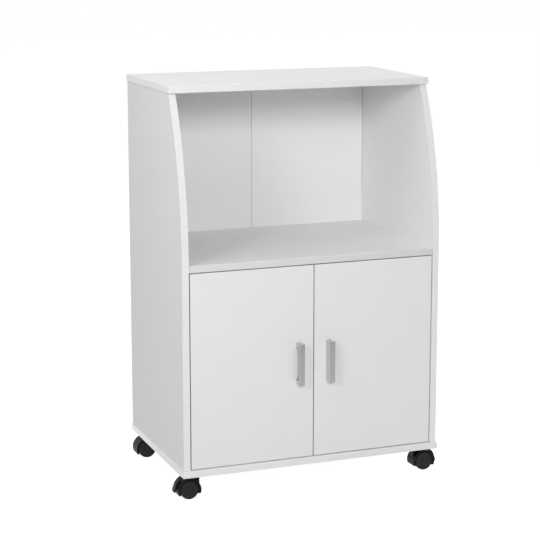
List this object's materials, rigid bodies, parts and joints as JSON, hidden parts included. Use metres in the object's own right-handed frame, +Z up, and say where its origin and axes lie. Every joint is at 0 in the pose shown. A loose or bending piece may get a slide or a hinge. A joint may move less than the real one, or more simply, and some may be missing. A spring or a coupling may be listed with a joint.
{
  "type": "microwave cart",
  "caption": "White board cart on twin-wheel castors: open microwave bay between curved sides, above a cupboard with inset doors and slim metal pulls.",
  "frame": {"origin": "on the floor, under the middle of the cart's bounding box", "axes": "+Z up, +X to the right seen from the front, the doors face -Y"},
  "size_m": [0.623, 0.409, 0.8836],
  "materials": {
    "white_board": "satin white melamine on particleboard, edges banded in the same white",
    "white_back": "white coated hardboard sheet, slightly duller than the boards",
    "handle_metal": "satin silver-grey, fine lengthwise brushing",
    "fitting_steel": "bright nickel-plated pressed steel",
    "castor_steel": "dull zinc-plated steel",
    "castor_plastic": "black moulded nylon with a fine matt texture",
    "wheel_plastic": "black moulded nylon wheel, slightly worn on the tread",
    "catch_plastic": "white moulded plastic"
  },
  "bodies": {
    "cart_body": {"base_board": "white_board", "top_board": "white_board", "fixed_shelf": "white_board", "left_side_panel": "white_board", "right_side_panel": "white_board", "inner_shelf": "white_board", "back_sheet_left": "white_back", "back_sheet_right": "white_back", "magnet_catch": "catch_plastic", "shelf_pin_left_front": "fitting_steel", "shelf_pin_left_back": "fitting_steel", "left_upper_hinge_arm": "fitting_steel", "left_upper_hinge_plate": "fitting_steel", "left_lower_hinge_arm": "fitting_steel", "left_lower_hinge_plate": "fitting_steel", "shelf_pin_right_front": "fitting_steel", "shelf_pin_right_back": "fitting_steel", "right_upper_hinge_arm": "fitting_steel", "right_upper_hinge_plate": "fitting_steel", "right_lower_hinge_arm": "fitting_steel", "right_lower_hinge_plate": "fitting_steel", "front_left_castor_plate": "castor_steel", "front_right_castor_plate": "castor_steel", "rear_left_castor_plate": "castor_steel", "rear_right_castor_plate": "castor_steel"},
    "left_door_leaf": {"left_door": "white_board", "left_handle": "handle_metal", "left_handle_screw_upper": "fitting_steel", "left_handle_screw_lower": "fitting_steel", "left_strike_plate": "fitting_steel", "left_upper_hinge_cup": "fitting_steel", "left_lower_hinge_cup": "fitting_steel"},
    "right_door_leaf": {"right_door": "white_board", "right_handle": "handle_metal", "right_handle_screw_upper": "fitting_steel", "right_handle_screw_lower": "fitting_steel", "right_strike_plate": "fitting_steel", "right_upper_hinge_cup": "fitting_steel", "right_lower_hinge_cup": "fitting_steel"},
    "front_left_castor_swivel_body": {"front_left_castor_hood": "castor_plastic", "front_left_castor_axle": "castor_steel"},
    "front_left_castor_front_wheel_body": {"front_left_castor_wheel_front": "wheel_plastic"},
    "front_left_castor_rear_wheel_body": {"front_left_castor_wheel_rear": "wheel_plastic"},
    "front_left_castor_brake_body": {"front_left_castor_brake": "castor_plastic"},
    "front_right_castor_swivel_body": {"front_right_castor_hood": "castor_plastic", "front_right_castor_axle": "castor_steel"},
    "front_right_castor_front_wheel_body": {"front_right_castor_wheel_front": "wheel_plastic"},
    "front_right_castor_rear_wheel_body": {"front_right_castor_wheel_rear": "wheel_plastic"},
    "front_right_castor_brake_body": {"front_right_castor_brake": "castor_plastic"},
    "rear_left_castor_swivel_body": {"rear_left_castor_hood": "castor_plastic", "rear_left_castor_axle": "castor_steel"},
    "rear_left_castor_front_wheel_body": {"rear_left_castor_wheel_front": "wheel_plastic"},
    "rear_left_castor_rear_wheel_body": {"rear_left_castor_wheel_rear": "wheel_plastic"},
    "rear_right_castor_swivel_body": {"rear_right_castor_hood": "castor_plastic", "rear_right_castor_axle": "castor_steel"},
    "rear_right_castor_front_wheel_body": {"rear_right_castor_wheel_front": "wheel_plastic"},
    "rear_right_castor_rear_wheel_body": {"rear_right_castor_wheel_rear": "wheel_plastic"}
  },
  "joints": [
    {"name": "left_door_swing", "type": "hinge", "parent": "cart_body", "child": "left_door_leaf", "pos_m": [-0.2675, -0.1757, 0.28485], "axis": [0, 0, -1], "range_deg": [0, 95]},
    {"name": "right_door_swing", "type": "hinge", "parent": "cart_body", "child": "right_door_leaf", "pos_m": [0.2675, -0.1757, 0.28485], "axis": [0, 0, 1], "range_deg": [0, 95]},
    {"name": "front_left_castor_swivel", "type": "hinge", "parent": "cart_body", "child": "front_left_castor_swivel_body", "pos_m": [-0.264, -0.1478, 0.0525], "axis": [0, 0, 1], "continuous": true},
    {"name": "front_left_castor_front_wheel_roll", "type": "hinge", "parent": "front_left_castor_swivel_body", "child": "front_left_castor_front_wheel_body", "pos_m": [-0.279, -0.1478, 0.0205], "axis": [0, 1, 0], "continuous": true},
    {"name": "front_left_castor_rear_wheel_roll", "type": "hinge", "parent": "front_left_castor_swivel_body", "child": "front_left_castor_rear_wheel_body", "pos_m": [-0.279, -0.1478, 0.0205], "axis": [0, 1, 0], "continuous": true},
    {"name": "front_left_castor_brake_press", "type": "hinge", "parent": "front_left_castor_swivel_body", "child": "front_left_castor_brake_body", "pos_m": [-0.279, -0.1478, 0.0205], "axis": [0, -1, 0], "range_deg": [0, 12]},
    {"name": "front_right_castor_swivel", "type": "hinge", "parent": "cart_body", "child": "front_right_castor_swivel_body", "pos_m": [0.264, -0.1478, 0.0525], "axis": [0, 0, 1], "continuous": true},
    {"name": "front_right_castor_front_wheel_roll", "type": "hinge", "parent": "front_right_castor_swivel_body", "child": "front_right_castor_front_wheel_body", "pos_m": [0.279, -0.1478, 0.0205], "axis": [0, 1, 0], "continuous": true},
    {"name": "front_right_castor_rear_wheel_roll", "type": "hinge", "parent": "front_right_castor_swivel_body", "child": "front_right_castor_rear_wheel_body", "pos_m": [0.279, -0.1478, 0.0205], "axis": [0, 1, 0], "continuous": true},
    {"name": "front_right_castor_brake_press", "type": "hinge", "parent": "front_right_castor_swivel_body", "child": "front_right_castor_brake_body", "pos_m": [0.279, -0.1478, 0.0205], "axis": [0, 1, 0], "range_deg": [0, 12]},
    {"name": "rear_left_castor_swivel", "type": "hinge", "parent": "cart_body", "child": "rear_left_castor_swivel_body", "pos_m": [-0.264, 0.1622, 0.0525], "axis": [0, 0, 1], "continuous": true},
    {"name": "rear_left_castor_front_wheel_roll", "type": "hinge", "parent": "rear_left_castor_swivel_body", "child": "rear_left_castor_front_wheel_body", "pos_m": [-0.279, 0.1622, 0.0205], "axis": [0, 1, 0], "continuous": true},
    {"name": "rear_left_castor_rear_wheel_roll", "type": "hinge", "parent": "rear_left_castor_swivel_body", "child": "rear_left_castor_rear_wheel_body", "pos_m": [-0.279, 0.1622, 0.0205], "axis": [0, 1, 0], "continuous": true},
    {"name": "rear_right_castor_swivel", "type": "hinge", "parent": "cart_body", "child": "rear_right_castor_swivel_body", "pos_m": [0.264, 0.1622, 0.0525], "axis": [0, 0, 1], "continuous": true},
    {"name": "rear_right_castor_front_wheel_roll", "type": "hinge", "parent": "rear_right_castor_swivel_body", "child": "rear_right_castor_front_wheel_body", "pos_m": [0.279, 0.1622, 0.0205], "axis": [0, 1, 0], "continuous": true},
    {"name": "rear_right_castor_rear_wheel_roll", "type": "hinge", "parent": "rear_right_castor_swivel_body", "child": "rear_right_castor_rear_wheel_body", "pos_m": [0.279, 0.1622, 0.0205], "axis": [0, 1, 0], "continuous": true}
  ]
}
